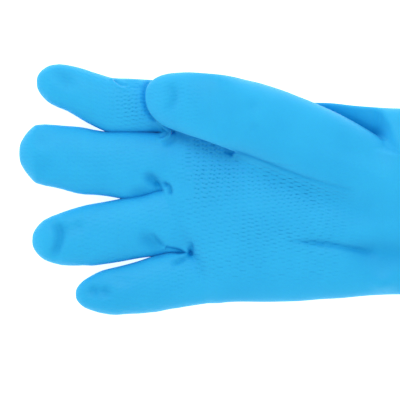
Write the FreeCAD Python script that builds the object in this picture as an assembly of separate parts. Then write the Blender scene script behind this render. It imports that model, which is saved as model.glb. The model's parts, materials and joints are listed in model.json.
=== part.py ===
import FreeCAD, Part
import math
import os

# Household rubber glove, right hand, size 9 (large), lying on its back with the palm up.
# Millimetres. +X runs from the fingertips to the cuff mouth, +Y to the thumb side,
# +Z up out of the palm. Origin: on the flat of the hand's back, under the middle of the palm.
#
# The glove is one dipped rubber skin with a cotton flock lining, divided at its flexing lines:
# each part of the skin that keeps its shape is a rigid shell with its own lining, and each
# band of skin that bends is a flex piece.

Vector = FreeCAD.Vector
Y_AXIS = Vector(0, 1, 0)
Z_AXIS = Vector(0, 0, 1)
os.makedirs("parts", exist_ok=True)

# ---- skin -------------------------------------------------------------------------------
WALL = 0.55  # rubber wall
FLOCK = 0.30  # cotton flock lining bonded inside the wall
OVERRUN = 2.0  # how far the inner solids run past an open end
SECTION_POINTS = 16
EXPONENT = 2.2  # superellipse exponent of the fingers and thumb; 2 is an ellipse
MOUND_EXPONENT = 2.1

# ---- hand and cuff ----------------------------------------------------------------------
MOUTH_X = 185.0  # plane of the cuff mouth
BEAD_RADIUS = 1.35  # rolled bead at the mouth
CUFF_SHELL_SETBACK = 0.6  # the cuff wall ends this far short of the mouth plane
CUFF_LINING_SETBACK = 6.0  # the flock stops short of the bead

# sections normal to X: (x, y low, y high, z low, z high, exponent)
BODY = [
    (-50.0, -50.5, 55.5, 3.6, 12.0, 2.5),
    (-46.0, -51.6, 56.6, 0.6, 15.0, 2.5),
    (-38.0, -52.4, 56.6, -0.8, 17.4, 2.5),
    (-20.0, -51.4, 54.4, -1.0, 20.6, 2.5),
    (0.0, -51.0, 51.8, -1.0, 22.0, 2.45),
    (20.0, -50.4, 49.2, -1.0, 22.6, 2.4),
    (40.0, -48.8, 47.3, -1.0, 23.2, 2.3),
    (62.0, -47.6, 46.0, -0.8, 23.8, 2.2),
    (80.0, -47.8, 46.0, -0.6, 24.4, 2.2),
    (110.0, -51.0, 49.4, -0.4, 27.4, 2.2),
    (150.0, -57.0, 55.4, 0.2, 32.6, 2.2),
    (MOUTH_X, -62.0, 60.6, 1.2, 36.6, 2.2),
]

# ---- fingers ----------------------------------------------------------------------------
FINGER_Z = 7.3  # height of each finger's middle above the rest plane
TIP_DROP = 0.2  # the fingertips lie this much lower
ROOT_STATIONS = 4  # the first stations of a finger make the root that fuses with the hand

# stations: (x, y, half width, half thickness); the last is where the tip dome starts
FINGERS = {
    "index": [
        (-30.0, 44.0, 9.5, 5.8), (-50.0, 47.4, 12.5, 7.6),
        (-61.5, 47.6, 12.4, 7.6), (-74.0, 48.0, 12.4, 7.6),
        (-82.0, 49.0, 12.7, 7.6), (-90.8, 52.0, 12.1, 7.5),
        (-97.5, 55.0, 11.4, 7.4), (-103.6, 57.4, 10.9, 7.2),
    ],
    "middle": [
        (-31.0, 20.6, 13.0, 6.4), (-52.5, 19.7, 14.8, 7.8),
        (-64.5, 18.4, 15.9, 7.8), (-73.5, 18.1, 16.6, 7.8),
        (-82.5, 18.4, 16.1, 7.8), (-91.4, 19.6, 16.3, 7.7),
        (-100.2, 21.0, 16.0, 7.5), (-109.5, 22.3, 15.1, 7.3),
    ],
    "ring": [
        (-31.0, -10.4, 13.0, 6.4), (-49.0, -11.5, 15.2, 7.7),
        (-59.5, -12.4, 15.3, 7.7), (-68.5, -13.9, 15.0, 7.7),
        (-75.0, -15.0, 15.3, 7.7), (-83.5, -16.4, 15.4, 7.6),
        (-92.1, -17.4, 15.0, 7.5), (-101.5, -18.3, 13.8, 7.2),
    ],
    "little": [
        (-22.0, -36.2, 9.5, 5.8), (-40.0, -39.9, 12.6, 7.5),
        (-49.5, -40.9, 12.9, 7.5), (-58.0, -42.1, 13.3, 7.5),
        (-64.3, -43.1, 12.7, 7.4), (-72.0, -44.1, 12.2, 7.3),
        (-80.5, -45.4, 11.6, 7.0),
    ],
}
# end of each finger: (x, y)
FINGER_TIPS = {
    "index": (-116.2, 60.6),
    "middle": (-125.2, 23.4),
    "ring": (-118.8, -19.3),
    "little": (-96.9, -47.3),
}
# hinges from the root outwards: (x, y, axis angle from +Y in degrees)
FINGER_HINGES = {
    "index": [(-64.0, 47.6, 0.0), (-80.0, 48.6, 7.0), (-98.5, 55.4, 7.0)],
    "middle": [(-65.0, 18.4, 2.7), (-86.5, 18.9, 2.7), (-106.0, 21.8, 2.7)],
    "ring": [(-66.0, -13.5, -6.8), (-85.0, -16.6, -6.8), (-102.0, -18.3, -6.8)],
    "little": [(-51.0, -41.1, -7.6), (-67.5, -43.5, -7.6), (-82.0, -45.6, -7.6)],
}
# the same three joints on every finger: (name, flexion, extension), degrees
JOINTS = [("base", 65, 15), ("knuckle", 80, 5), ("tip_joint", 52, 5)]
SEGMENTS = ["proximal", "middle", "tip"]

# ---- thumb ------------------------------------------------------------------------------
# stations: (x, y, z, half width, half thickness)
THUMB = [
    (60.0, 14.0, 12.0, 15.5, 9.5),
    (46.0, 19.5, 18.0, 16.2, 10.6),
    (30.0, 26.2, 24.6, 17.0, 10.6),
    (8.5, 34.6, 30.8, 17.8, 9.8),
    (-14.5, 41.8, 34.0, 17.9, 9.0),
    (-27.0, 45.0, 34.0, 17.7, 8.6),
    (-38.0, 47.2, 31.6, 17.2, 8.4),
    (-48.0, 49.2, 28.4, 15.4, 7.9),
]
THUMB_TIP = Vector(-61.9, 51.6, 25.4)
# the mound that carries the thumb's root: (x, y, z, half width, half height)
MOUND = [
    (-20.0, 35.5, 23.5, 7.0, 5.5),
    (-8.0, 34.0, 21.5, 11.5, 9.0),
    (10.0, 31.0, 19.0, 15.0, 12.0),
    (30.0, 26.0, 16.5, 16.5, 12.6),
    (50.0, 19.0, 13.5, 16.0, 11.5),
    (64.0, 13.0, 12.0, 14.0, 9.0),
]
# the thumb's flexing zone is the slab WEB_LOW < -0.2 x + 0.98 z < WEB_HIGH
WEB_NORMAL = Vector(-0.2, 0.0, 0.98)
WEB_LOW = 27.0
WEB_HIGH = 30.6
THUMB_BASE_X = 12.0  # the stiff part of the thumb ends here, towards the wrist
THUMB_KNUCKLE = Vector(-38.5, 47.4, 31.4)
THUMB_FLEXION = 50
THUMB_EXTENSION = 10
THUMB_CUT_Z = 18.6  # the knuckle's cuts stay above this, clear of the hand
THUMB_BAND_MIN_Z = 19.0  # the knuckle band's centre lies above this
BELOW_THUMB_Z = 16.4  # the cuts at the finger roots stay below the overhanging thumb

# ---- flexing lines ----------------------------------------------------------------------
GAP = 0.4  # half the width of a flexing line at its hinge axis
SEAM = 0.05  # clearance between a flex band and the shells beside it
BAND_GAP = GAP - SEAM
SPARE_ANGLE = 1.0  # added to each half angle of a flexing line, degrees
WRIST_X = 74.0
WRIST_Z = 11.8
WRIST_BEND = 58.0  # each way, degrees
# reach of a cut about its hinge axis: half the length along it, and the height either side
FINGER_REACH = {"half_width": 24, "height": 32.0}
THUMB_REACH = {"half_width": 40, "height": 30}
WRIST_REACH = {"half_width": 90, "height": 40}
ROOT_SIDE_MARGIN = 0.3  # the cut at a finger's root is this much wider on each side


# ---- sections and lofts -----------------------------------------------------------------
def section(centre, side, up, half_width, half_height, exponent=EXPONENT):
    """A closed superellipse wire about centre."""
    points = []
    for i in range(SECTION_POINTS):
        angle = 2 * math.pi * (i + 0.5) / SECTION_POINTS
        cosine, sine = math.cos(angle), math.sin(angle)
        across = half_width * math.copysign(abs(cosine) ** (2.0 / exponent), cosine)
        along = half_height * math.copysign(abs(sine) ** (2.0 / exponent), sine)
        points.append(centre + side * across + up * along)
    curve = Part.BSplineCurve()
    curve.interpolate(points, PeriodicFlag=True)
    return Part.Wire([curve.toShape()])


def section_across(centre, direction, half_width, half_height):
    """A section square to direction, with its width level."""
    side = Z_AXIS.cross(direction).normalize()
    up = direction.cross(side).normalize()
    return section(centre, side, up, half_width, half_height)


def facing_out(solid):
    if solid.Volume < 0:
        solid.reverse()
    return solid


def loft(wires):
    return facing_out(Part.makeLoft(wires, True, False, False))


def directions(points):
    """The unit direction of the path at each point, from its neighbours."""
    found = []
    for i in range(len(points)):
        before, after = points[max(i - 1, 0)], points[min(i + 1, len(points) - 1)]
        found.append((after - before).normalize())
    return found


def tube(points, halves, tip, inset, start_extra=0.0):
    """A closed tube through the points, with a domed end at tip."""
    path = directions(points + [tip])
    wires = []
    for i, (point, (width, height)) in enumerate(zip(points, halves)):
        centre = point - path[i] * start_extra if i == 0 else point
        wires.append(section_across(centre, path[i], width - inset, height - inset))
    dome_axis = tip - points[-1]
    dome_length = dome_axis.Length - inset
    dome_axis.normalize()
    width, height = halves[-1]
    for degrees in (26, 46, 62, 74, 83):
        rise = math.sin(math.radians(degrees))
        shrink = math.cos(math.radians(degrees)) ** 0.92
        wires.append(section_across(
            points[-1] + dome_axis * (dome_length * rise), dome_axis,
            (width - inset) * shrink, (height - inset) * (shrink ** 0.9)))
    return loft(wires)


# ---- cutting solids ---------------------------------------------------------------------
def halfspace(point, normal, size=400.0):
    """A big box on the side of the plane that normal points to."""
    box = Part.makeBox(size, size, size, Vector(-size / 2, -size / 2, 0))
    turn = FreeCAD.Rotation(Z_AXIS, Vector(normal).normalize())
    box.Placement = FreeCAD.Placement(Vector(point), turn)
    return box


def block_above(z):
    """A block over the whole glove, 120 high, with its underside at z."""
    return Part.makeBox(420, 220, 120, Vector(-160, -110, z))


def slice_from(x, length):
    """A block across the whole glove, from x towards the cuff mouth."""
    return Part.makeBox(length, 260, 120, Vector(x, -130, -20))


class Hinge:
    """A flexing line: outward points away from the wrist, closing to the side that folds."""

    def __init__(self, centre, axis, outward, closing, flexion, extension):
        self.centre = centre
        self.axis = axis
        self.outward = outward
        self.closing = closing
        self.flexion = flexion
        self.extension = extension

    def bow_tie(self, half_width, height, gap=GAP):
        """The space about the hinge: open by flexion on the closing side, else by extension."""
        top = gap + height * math.tan(math.radians(self.flexion / 2.0 + SPARE_ANGLE))
        low = gap + height * math.tan(math.radians(self.extension / 2.0 + SPARE_ANGLE))
        corners = [(-top, height), (top, height), (gap, 0),
                   (low, -height), (-low, -height), (-gap, 0)]
        base = self.centre - self.axis * half_width
        points = [base + self.outward * out + self.closing * up for out, up in corners]
        face = Part.Face(Part.makePolygon(points + [points[0]]))
        return face.extrude(self.axis * (2 * half_width))

    def block_beyond(self, length, half_width, height, drop):
        """A block outward of the flexing line, its underside drop below the hinge."""
        block = Part.makeBox(length, 2 * half_width, height, Vector(0, -half_width, -drop))
        heading = math.degrees(math.atan2(self.outward.y, self.outward.x))
        placement = FreeCAD.Placement(
            self.centre + self.outward * GAP, FreeCAD.Rotation(Z_AXIS, heading))
        return block.transformGeometry(placement.toMatrix())


def finger_hinges(finger):
    hinges = []
    for (x, y, angle), (_, flexion, extension) in zip(FINGER_HINGES[finger], JOINTS):
        turn = math.radians(angle)
        axis = Vector(math.sin(turn), math.cos(turn), 0)
        outward = Vector(-math.cos(turn), math.sin(turn), 0)
        hinges.append(
            Hinge(Vector(x, y, FINGER_Z), axis, outward, Z_AXIS, flexion, extension))
    return hinges


def thumb_hinge():
    """The thumb knuckle, closing towards the palm's middle about an upright axis."""
    outward = THUMB_TIP - Vector(*THUMB[2][:3])
    outward = Vector(outward.x, outward.y, 0).normalize()
    closing = Z_AXIS.cross(outward).normalize()
    return Hinge(THUMB_KNUCKLE, Z_AXIS, outward, closing, THUMB_FLEXION, THUMB_EXTENSION)


def largest(solids):
    return max(solids, key=lambda solid: solid.Volume)


def save(name, solid):
    solid.exportStep(f"parts/{name}.step")


# ---- whole solids, inset from the outside -----------------------------------------------
def body_section(station, inset, x_shift=0.0):
    x, y_low, y_high, z_low, z_high, exponent = station
    centre = Vector(x + x_shift, (y_low + y_high) / 2, (z_low + z_high) / 2)
    return section(centre, Y_AXIS, Z_AXIS,
                   (y_high - y_low) / 2 - inset, (z_high - z_low) / 2 - inset, exponent)


def body_solid(inset):
    shifts = [0.0] * len(BODY)
    shifts[0] = inset
    shifts[-1] = OVERRUN if inset > 0 else 0.0
    return loft([body_section(station, inset, shift) for station, shift in zip(BODY, shifts)])


def finger_path(finger):
    points = [Vector(x, y, FINGER_Z) for x, y, _, _ in FINGERS[finger]]
    return points, [station[2:] for station in FINGERS[finger]]


def finger_root(finger, inset):
    points, halves = finger_path(finger)
    path = directions(points)
    return loft([
        section_across(points[i], path[i], halves[i][0] - inset, halves[i][1] - inset)
        for i in range(ROOT_STATIONS)
    ])


def finger_solid(finger, inset):
    points, halves = finger_path(finger)
    tip = Vector(*FINGER_TIPS[finger], FINGER_Z - TIP_DROP)
    start_extra = OVERRUN if inset > 0 else 0.0
    return tube(points[1:], halves[1:], tip, inset, start_extra).common(block_above(inset))


def thumb_solid(inset):
    points = [Vector(*station[:3]) for station in THUMB]
    return tube(points, [station[3:] for station in THUMB], THUMB_TIP, inset)


def mound_solid(inset):
    return loft([
        section(Vector(x + (inset if i == 0 else 0), y, z), Y_AXIS, Z_AXIS,
                width - inset, height - inset, MOUND_EXPONENT)
        for i, (x, y, z, width, height) in enumerate(MOUND)
    ])


def hand_solid(inset):
    """Hand, cuff, finger roots, mound and thumb as one."""
    roots = [finger_root(finger, inset) for finger in FINGERS]
    whole = body_solid(inset).fuse(roots + [mound_solid(inset)])
    whole = whole.fuse(thumb_solid(inset))
    return whole.common(block_above(inset))


def skin_layers(make_solid):
    """The rubber shell and the flock lining of a solid given by its inset."""
    outer, inner, core = [make_solid(inset) for inset in (0.0, WALL, WALL + FLOCK)]
    return {"shell": outer.cut(inner), "lining": inner.cut(core)}


# ---- cuts of the hand, wrist and thumb --------------------------------------------------
def finger_root_cuts():
    """Removes each finger's root from the proximal faces of its flexing line outwards."""
    under_thumb = block_above(BELOW_THUMB_Z - 120)
    cuts = []
    for finger, stations in FINGERS.items():
        hinge = finger_hinges(finger)[0]
        half_width = max(stations[2][2], stations[3][2]) + ROOT_SIDE_MARGIN
        line = hinge.bow_tie(half_width, FINGER_REACH["height"])
        beyond = hinge.block_beyond(length=26, half_width=half_width, height=40, drop=20)
        cuts += [line.common(under_thumb), beyond.common(under_thumb)]
    return cuts


root_cuts = finger_root_cuts()

wrist = Hinge(Vector(WRIST_X, 0, WRIST_Z), Y_AXIS, Vector(-1, 0, 0), Z_AXIS,
              WRIST_BEND, WRIST_BEND)
wrist_line = wrist.bow_tie(**WRIST_REACH)
wrist_band = wrist.bow_tie(**WRIST_REACH, gap=BAND_GAP)

knuckle = thumb_hinge()
above_hand = halfspace(Vector(0, 0, THUMB_CUT_Z), Z_AXIS)
knuckle_line = knuckle.bow_tie(**THUMB_REACH).common(above_hand)
knuckle_band = knuckle.bow_tie(**THUMB_REACH, gap=BAND_GAP).common(above_hand)
beyond_knuckle = knuckle.block_beyond(length=60, half_width=60, height=60, drop=14)

web_low_point = WEB_NORMAL * (WEB_LOW / WEB_NORMAL.Length ** 2)
web_high_point = WEB_NORMAL * (WEB_HIGH / WEB_NORMAL.Length ** 2)
stiff_thumb_block = Part.makeBox(THUMB_BASE_X + 70, 90, 60, Vector(-70, 2, 10))


# ---- pieces of the hand, wrist and thumb ------------------------------------------------
def thumb_tip(hand_part):
    piece = hand_part.common(beyond_knuckle).cut(knuckle_line).common(above_hand)
    return largest(piece.Solids)


def thumb_base(rest):
    over_web = halfspace(web_high_point, WEB_NORMAL)
    return largest(rest.common(over_web).common(stiff_thumb_block).Solids)


def hand(rest):
    return largest(rest.common(halfspace(web_low_point, WEB_NORMAL * -1)).Solids)


def thumb_web(rest):
    """The flexing skin between the hand and the stiff part of the thumb."""
    over_hand = halfspace(web_low_point + WEB_NORMAL * SEAM, WEB_NORMAL)
    stiff_thumb = stiff_thumb_block.common(
        halfspace(web_high_point - WEB_NORMAL * SEAM, WEB_NORMAL))
    return largest(rest.common(over_hand).cut(stiff_thumb).Solids)


def thumb_knuckle_flex(shell):
    bands = shell.common(knuckle_band).Solids
    return largest([band for band in bands if band.CenterOfMass.z > THUMB_BAND_MIN_Z])


def cuff_bead():
    """The rolled bead, swept round the middle of the wall at the mouth."""
    path = body_section(BODY[-1], WALL / 2)
    edge = path.Edges[0]
    start = edge.valueAt(edge.FirstParameter)
    tangent = edge.tangentAt(edge.FirstParameter)
    profile = Part.Wire([Part.makeCircle(BEAD_RADIUS, start, tangent)])
    bead = path.makePipeShell([profile], True, True)
    # the sweep may come back as a bare shell
    bead = bead if bead.ShapeType == "Solid" else Part.Solid(bead)
    return facing_out(bead)


def cuff_shell(cuff_part, bead):
    beyond_wall = slice_from(MOUTH_X - CUFF_SHELL_SETBACK, 20)
    return largest(largest(cuff_part.Solids).cut(beyond_wall).cut(bead).Solids)


def cuff_lining(cuff_part):
    return largest(cuff_part.cut(slice_from(MOUTH_X - CUFF_LINING_SETBACK, 40)).Solids)


def build_hand():
    for layer, skin in skin_layers(hand_solid).items():
        no_wrist = skin.cut(wrist_line)
        hand_part = no_wrist.common(slice_from(WRIST_X - 400, 400))
        cuff_part = no_wrist.common(slice_from(WRIST_X, 200))
        hand_part = hand_part.cut(root_cuts)
        # the hand and the thumb up to its knuckle
        rest = hand_part.cut(knuckle_line.fuse(beyond_knuckle.common(above_hand)))
        save(f"hand_{layer}", hand(rest))
        save(f"thumb_base_{layer}", thumb_base(rest))
        save(f"thumb_tip_{layer}", thumb_tip(hand_part))
        if layer == "shell":
            save("thumb_web_flex", thumb_web(rest))
            save("thumb_knuckle_flex", thumb_knuckle_flex(skin))
            save("wrist_flex", largest(skin.common(wrist_band).Solids))
            bead = cuff_bead()
            save("cuff_bead", bead)
            save("cuff_shell", cuff_shell(cuff_part, bead))
        else:
            save("cuff_lining", cuff_lining(cuff_part))


# ---- pieces of the fingers --------------------------------------------------------------
def finger_segments(skin, hinges):
    """The three stiff pieces of a finger, from its root hinge to its tip."""
    pieces = skin.cut([hinge.bow_tie(**FINGER_REACH) for hinge in hinges])
    found = [piece for piece in pieces.Solids if piece.Volume > 0.5]
    found.sort(key=lambda piece: -piece.CenterOfMass.x)
    # the piece on the hand's side of the first hinge belongs to the hand
    root = hinges[0]
    return [piece for piece in found
            if (piece.CenterOfMass - root.centre).dot(root.outward) > 0]


def finger_band(shell, hinge):
    return largest(shell.common(hinge.bow_tie(**FINGER_REACH, gap=BAND_GAP)).Solids)


def build_finger(finger):
    hinges = finger_hinges(finger)
    layers = skin_layers(lambda inset: finger_solid(finger, inset))
    for layer, skin in layers.items():
        for segment, piece in zip(SEGMENTS, finger_segments(skin, hinges)):
            save(f"{finger}_{segment}_{layer}", piece)
    for (joint, _, _), hinge in zip(JOINTS, hinges):
        save(f"{finger}_{joint}_flex", finger_band(layers["shell"], hinge))


build_hand()
for finger_name in FINGERS:
    build_finger(finger_name)
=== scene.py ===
"""A household rubber glove, right hand, lying on its back on a pale floor.

In its frame +X runs from the fingertips to the cuff, +Y is the thumb side and +Z points out of
the palm. Shapes are worked out in millimetres and written to Blender in metres. The skin is the
zero level of a distance field: it is meshed with the fingers parted, closed up again, given its
folds and grip pattern, and cut into pieces that follow the joints.
"""
import itertools
import json
import math

import bmesh
import bpy
import numpy as np
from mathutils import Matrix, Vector

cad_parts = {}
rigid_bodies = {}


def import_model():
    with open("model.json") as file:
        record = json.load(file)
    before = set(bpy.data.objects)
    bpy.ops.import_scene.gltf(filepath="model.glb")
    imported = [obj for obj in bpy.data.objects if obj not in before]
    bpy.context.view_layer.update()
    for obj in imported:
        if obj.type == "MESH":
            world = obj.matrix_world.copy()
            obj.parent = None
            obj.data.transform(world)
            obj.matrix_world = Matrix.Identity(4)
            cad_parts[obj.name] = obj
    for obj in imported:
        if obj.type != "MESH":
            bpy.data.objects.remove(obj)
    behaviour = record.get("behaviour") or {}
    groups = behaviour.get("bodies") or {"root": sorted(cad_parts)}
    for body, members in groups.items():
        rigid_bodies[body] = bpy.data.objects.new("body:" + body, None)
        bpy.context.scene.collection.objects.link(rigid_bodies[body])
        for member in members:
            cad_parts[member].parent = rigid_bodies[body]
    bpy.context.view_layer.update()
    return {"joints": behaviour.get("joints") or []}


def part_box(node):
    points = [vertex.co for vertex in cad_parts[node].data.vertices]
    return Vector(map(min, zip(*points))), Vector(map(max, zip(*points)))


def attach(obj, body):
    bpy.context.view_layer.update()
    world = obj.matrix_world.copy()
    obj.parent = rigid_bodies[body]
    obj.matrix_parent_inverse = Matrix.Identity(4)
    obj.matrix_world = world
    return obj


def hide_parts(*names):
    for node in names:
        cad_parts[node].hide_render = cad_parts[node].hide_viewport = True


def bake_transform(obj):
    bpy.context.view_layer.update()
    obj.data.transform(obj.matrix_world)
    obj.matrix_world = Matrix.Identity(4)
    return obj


for old in list(bpy.data.objects):
    bpy.data.objects.remove(old)
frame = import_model()

GRID = 0.85  # spacing of the first mesh; the palm side is refined once more
WALL = 0.85  # rubber and flock together
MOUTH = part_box("cuff_bead")[1][0] * 1000.0 - 1.35  # x of the cuff mouth


def unit(value):
    return np.clip(value, 0, 1)


def ease(value):
    """Smooth step from 0 to 1."""
    value = unit(value)
    return value * value * (3 - 2 * value)


class Curve:
    """A smoothed curve through stations, as a dense table carried on straight past its ends."""
    STEP = 0.25

    def __init__(self, stations, values, sigma):
        stations, values = np.asarray(stations, float), np.asarray(values, float)
        order = np.argsort(stations)
        stations, values = stations[order], values[order]
        margin = 4 * sigma
        self.x = np.arange(stations[0] - margin, stations[-1] + margin + self.STEP, self.STEP)
        table = np.interp(self.x, stations, values)
        # carry the end slopes on, so smoothing doesn't flatten the ends
        for end, inner, outside in ((0, 1, self.x < stations[0]), (-1, -2, self.x > stations[-1])):
            slope = (values[inner] - values[end]) / (stations[inner] - stations[end])
            line = values[end] + (self.x - stations[end]) * slope
            table = np.where(outside, line, table)
        reach = int(3 * sigma / self.STEP)
        kernel = np.exp(-0.5 * (np.arange(-reach, reach + 1) * self.STEP / sigma) ** 2)
        kernel /= kernel.sum()
        before = table[0] + np.arange(-reach, 0) * (table[1] - table[0])
        after = table[-1] + np.arange(1, reach + 1) * (table[-1] - table[-2])
        self.value = np.convolve(np.concatenate([before, table, after]), kernel, "valid")

    def __call__(self, x):
        return np.interp(x, self.x, self.value)


# ---- fingers ---------------------------------------------------------------------------------
FINGER_Z = 7.3  # height of the fingers' middle
FINGER_END = -16.0  # x where they stop, inside the hand
FINGER_POWER = 2.25  # exponent of their section, and of the dome at the tip


def middle_line(x, high_y, low_y, tip_x, tip_y, sigma):
    """Curves of a digit's centre and half width; the tip keeps the first half width."""
    high_y, low_y = np.array(high_y), np.array(low_y)
    half = (high_y - low_y) / 2
    stations = np.concatenate([tip_x, x])
    center = Curve(stations, np.concatenate([tip_y, (high_y + low_y) / 2]), sigma)
    return center, Curve(stations, np.concatenate([np.full(len(tip_x), half[0]), half]), sigma)


class Finger:
    """x, high_y, low_y: stations and the two edges. tip_x, tip_y: centre line of the tip.
    dome_x, dome_half: half width of the rounded end, whose stations are moved out by reach.
    height: half height. cuts: x of the root, first and second cut between skin pieces."""

    def __init__(self, x, high_y, low_y, tip_x, tip_y, dome_x, dome_half, reach, height, cuts):
        self.cuts = cuts
        self.center, self.half = middle_line(x, high_y, low_y, tip_x, tip_y, 1.1)
        dome_x = np.array(dome_x)
        dome_x[1:] -= reach
        start, tip = dome_x[0], dome_x[-1]
        fall = 1.0 - (np.array(dome_half) / dome_half[0]) ** FINGER_POWER
        self.dome_fall = Curve(np.concatenate([dome_x, [tip - 3.0, start + 6.0]]),
                               np.concatenate([fall, [1.9, 0.0]]), 0.45)
        self.height = Curve(
            [tip, start, start + 12, -48, -36, -20],
            [height - 0.7, height - 0.25, height, height, height - 0.8, height - 3.5], 3.0)


FINGERS = {
    "index": Finger(
        x=[-103, -100.75, -96.75, -92.75, -88.75, -84.75, -81.5, -79, -75, -70, -65, -60, -55,
           -50, -35, -15],
        high_y=[68.1, 67.8, 67, 65.85, 64.4, 63.1, 61.95, 61.15, 60.85, 60.8, 60.6, 60.35, 60,
                59.4, 56.75, 53.5],
        low_y=[45.35, 44.25, 41.85, 39.35, 37.25, 35.4, 34.05, 33.7, 33.65, 33.65, 33.65, 33.65,
               33.6, 33.5, 33.2, 35],
        tip_x=[-116.7, -112, -107], tip_y=[58.8, 58.2, 57.5],
        dome_x=[-103, -104.75, -108.75, -110.4, -112.75, -114.85, -116, -116.6],
        dome_half=[11.4, 11.1, 9.95, 9.2, 7.4, 5.1, 2.9, 0], reach=0.6, height=7.7,
        cuts=(-55.6, -71.2, -89.4)),
    "middle": Finger(
        x=[-112.75, -108.75, -104.75, -100.75, -96.75, -92.75, -88.75, -84.75, -81.5, -79, -75,
           -70, -65, -60, -56, -50, -35, -15],
        high_y=[37.8, 37.45, 37.05, 36.75, 36.6, 36.1, 35.2, 34.5, 34.2, 34.4, 34.5,
                34.5, 34.45, 34.4, 34.3, 34.1, 33, 30],
        low_y=[7, 6.45, 5.5, 4.2, 3.05, 2.5, 2.5, 2.25, 2, 1.65, 1.05,
               0.55, 1.4, 2.8, 4.15, 4.7, 6, 8],
        tip_x=[-125.7, -121, -116], tip_y=[23.25, 23.25, 22.8],
        dome_x=[-112.75, -116.75, -118, -120.75, -123, -124.55, -125.05, -125.25],
        dome_half=[15.4, 14.7, 13.8, 10.8, 7.5, 4.5, 1.75, 0], reach=0.45, height=7.8,
        cuts=(-57.0, -76.0, -96.6)),
    "ring": Finger(
        x=[-104, -100.75, -96.75, -92.75, -88.75, -84.75, -80.75, -76.75, -72.75, -70, -65, -60,
           -56, -52, -41, -30, -15],
        high_y=[-5.8, -4.55, -3.45, -2.45, -1.75, -1.15, -0.5, 0.05, 0.75, 1.3, 2.3, 3.7,
                5.1, 5.7, 4.5, 3.5, 1],
        low_y=[-32.4, -32.75, -32.8, -32.65, -32.95, -32.5, -31.95, -31.25, -30.5, -29.95, -29.1,
               -28.55, -27.9, -26.9, -26.8, -25.5, -23],
        tip_x=[-119.25, -115, -110], tip_y=[-20, -19.8, -19.55],
        dome_x=[-104, -108.75, -112.75, -116.75, -118.2, -118.9],
        dome_half=[13.3, 11.65, 9.8, 5.8, 3.05, 0], reach=0.4, height=7.7,
        cuts=(-57.0, -75.8, -94.2)),
    "little": Finger(
        x=[-83, -80.75, -76.75, -72.75, -68.75, -64.75, -60.75, -57, -53.5, -50, -46, -40, -32.5,
           -28.75, -25, -20, -15],
        high_y=[-34.9, -34.3, -33.5, -32.6, -31.5, -30.2, -28.7, -27.4, -26.5, -25.7, -25.45,
                -26.3, -28, -28.5, -29.5, -30, -31],
        low_y=[-57.2, -57.7, -57.75, -57.15, -56.8, -56.65, -56.15, -55.9, -55.25, -54.6, -54.25,
               -53.2, -52, -51.5, -50.4, -48.8, -47],
        tip_x=[-97.3, -93, -88], tip_y=[-47.25, -47.05, -46.55],
        dome_x=[-83, -84.75, -88.75, -92.75, -95.5, -96.75, -97.1],
        dome_half=[11.1, 10.5, 8.8, 6.7, 4, 1.85, 0], reach=0.65, height=7.5,
        cuts=(-43.0, -58.6, -76.4)),
}

# ---- thumb: its edges seen from above, then its upper and under side -------------------------
THUMB_CENTER, THUMB_HALF = middle_line(
    x=[-47.5, -45, -39.5, -33, -27, -19, -5.5, 7.5, 20.5, 33.5, 42, 48, 54, 65],
    high_y=[63.4, 63.8, 63.75, 63.2, 62.5, 61.4, 58.6, 54.45, 49.05, 43.2, 38.9, 35.5, 31.8, 25],
    low_y=[34.7, 33.5, 31.7, 29.5, 27.2, 24.4, 19.8, 14.2, 9.5, 5.5, 2.5, 1.5, 0, -3],
    tip_x=[-62.5, -60, -55], tip_y=[51.5, 50.75, 49.9], sigma=2.0)
THUMB_DOME_X, THUMB_DOME_LENGTH = -47.0, 15.7
THUMB_TOP = Curve([-63, -55, -48, -38, -27, -15, 0, 10, 22, 34, 46, 60, 74],
                  [26.4, 29.6, 33.0, 36.4, 38.0, 37.0, 34.2, 32.2, 30.2, 28.0, 25.8, 22.4, 18.0],
                  3.0)
THUMB_UNDER = Curve([-63, -55, -48, -40, -30, -26, -22, -17, -10, 0, 20, 60],
                    [17.2, 17.2, 18.2, 22.2, 26.8, 26.8, 22.0, 15.0, 11.0, 9.0, 8.0, 5.0], 1.6)

# ---- hand and cuff: the edges in y and the two sides in z, by x ------------------------------
HAND_HIGH = Curve([-60, -50, -40, -20, 0, 20, 30, 40, 52, 65, 80, 110, 150, 185, 200],
                  [57.6, 57.6, 57.3, 54.6, 52.0, 49.6, 49.0, 47.6, 46.4, 45.6, 45.6, 49.6, 56.0,
                   61.0, 63], 3.0)
HAND_LOW = Curve([-60, -50, -40, -30, -20, 0, 20, 30, 43, 52, 65, 80, 110, 150, 185, 200],
                 [-53.5, -53.4, -52.4, -51.4, -51.1, -50.9, -50.5, -49.8, -48.3, -47.6, -47.2,
                  -47.8, -51.8, -58.0, -63.0, -65], 4.0)
HAND_X = [-60, -50, -40, -20, 0, 20, 40, 65, 80, 110, 150, 185, 200]
HAND_TOP = Curve(HAND_X, [15.4, 16.4, 17.8, 20.6, 22.2, 22.8, 23.2, 23.6, 24.4, 27.4, 32.6,
                          36.6, 38], 6.0)
HAND_UNDER = Curve(HAND_X, [-1, -1, -1, -1.2, -1.4, -1.4, -1.2, -0.8, -0.6, -0.4, 0.2, 1.5,
                            2.0], 6.0)
# the finger end of the hand, by y: where it ends, and the length over which it rounds off
WEB_END = Curve([-62, -52, -45, -38, -27, -12, 4, 20, 35, 50, 64],
                [-46, -45, -41, -37, -39.5, -48, -54.0, -53, -48.8, -46, -44], 3.0)
WEB_LENGTH = Curve([-62, -52, -46, -38, 0, 60], [22.0, 21.0, 17.0, 11.0, 11.0, 11.0], 2.5)
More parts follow.
